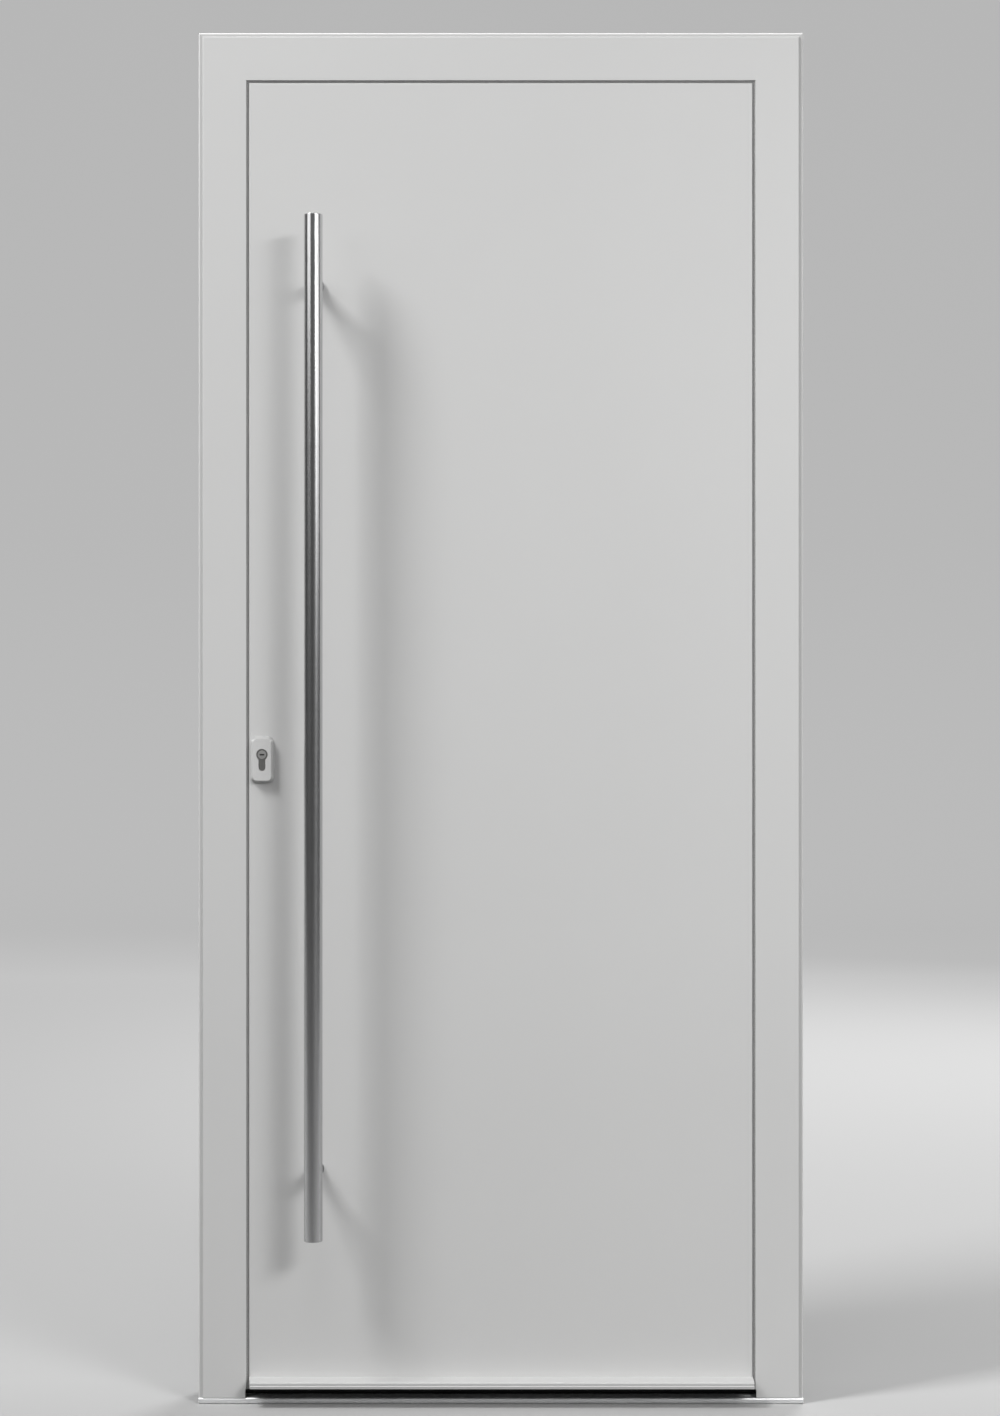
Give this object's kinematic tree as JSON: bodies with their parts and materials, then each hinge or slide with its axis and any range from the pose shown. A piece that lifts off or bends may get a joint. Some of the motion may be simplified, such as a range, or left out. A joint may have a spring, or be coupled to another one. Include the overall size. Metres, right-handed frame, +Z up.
{
  "type": "aluminium front door",
  "caption": "Flush aluminium front door in its thermally broken frame, opening inwards, with a long bar pull, a lock cylinder in a shield, a weather bar and a low sill.",
  "frame": {"origin": "middle of the sill's underside, halfway through the frame's depth", "axes": "+X to the right as seen from outside, +Y into the house, +Z up"},
  "size_m": [0.926, 0.2205, 2.1],
  "materials": {
    "pale_coating": "fine textured powder coat, satin",
    "brushed_stainless": "brushed along its length",
    "nickel": "satin nickel",
    "mill_aluminium": "natural anodised",
    "black_polyamide": "matt",
    "black_rubber": "matt",
    "foam": "matt foam"
  },
  "bodies": {
    "frame": {"frame_left_outer_shell": "pale_coating", "frame_right_outer_shell": "pale_coating", "frame_head_outer_shell": "pale_coating", "frame_left_inner_shell": "pale_coating", "frame_right_inner_shell": "pale_coating", "frame_head_inner_shell": "pale_coating", "frame_break_bars": "black_polyamide", "stop_gasket": "black_rubber", "sill_outer_plate": "mill_aluminium", "sill_break": "black_polyamide", "sill_inner_plate": "mill_aluminium", "strike_plates": "brushed_stainless", "hinge_pins": "brushed_stainless", "hinge_1_frame_half": "brushed_stainless", "hinge_2_frame_half": "brushed_stainless", "hinge_3_frame_half": "brushed_stainless"},
    "leaf": {"leaf_left_stile_outer_shell": "pale_coating", "leaf_right_stile_outer_shell": "pale_coating", "leaf_top_rail_outer_shell": "pale_coating", "leaf_bottom_rail_outer_shell": "pale_coating", "leaf_left_stile_inner_shell": "pale_coating", "leaf_right_stile_inner_shell": "pale_coating", "leaf_top_rail_inner_shell": "pale_coating", "leaf_bottom_rail_inner_shell": "pale_coating", "leaf_outer_sheet": "pale_coating", "leaf_inner_sheet": "pale_coating", "weather_bar": "pale_coating", "cylinder_shield": "pale_coating", "leaf_break_bars": "black_polyamide", "bottom_seal": "black_rubber", "handle_bar": "brushed_stainless", "handle_end_caps": "brushed_stainless", "handle_lower_standoff": "brushed_stainless", "handle_upper_standoff": "brushed_stainless", "lock_faceplate": "brushed_stainless", "inside_lever": "brushed_stainless", "inside_roses": "brushed_stainless", "cylinder_body": "nickel", "lock_bolts": "nickel", "lock_cases": "nickel", "hinge_1_leaf_half": "brushed_stainless", "hinge_2_leaf_half": "brushed_stainless", "hinge_3_leaf_half": "brushed_stainless", "leaf_core": "foam"},
    "plug": {"cylinder_plug": "nickel"}
  },
  "joints": [
    {"name": "leaf_swing", "type": "hinge", "parent": "frame", "child": "leaf", "pos_m": [0.409, 0.052, 1.05], "axis": [0, 0, -1], "range_deg": [0, 105]},
    {"name": "plug_turn", "type": "hinge", "parent": "leaf", "child": "plug", "pos_m": [-0.365, -0.0488, 0.9944], "axis": [0, -1, 0], "continuous": true}
  ]
}
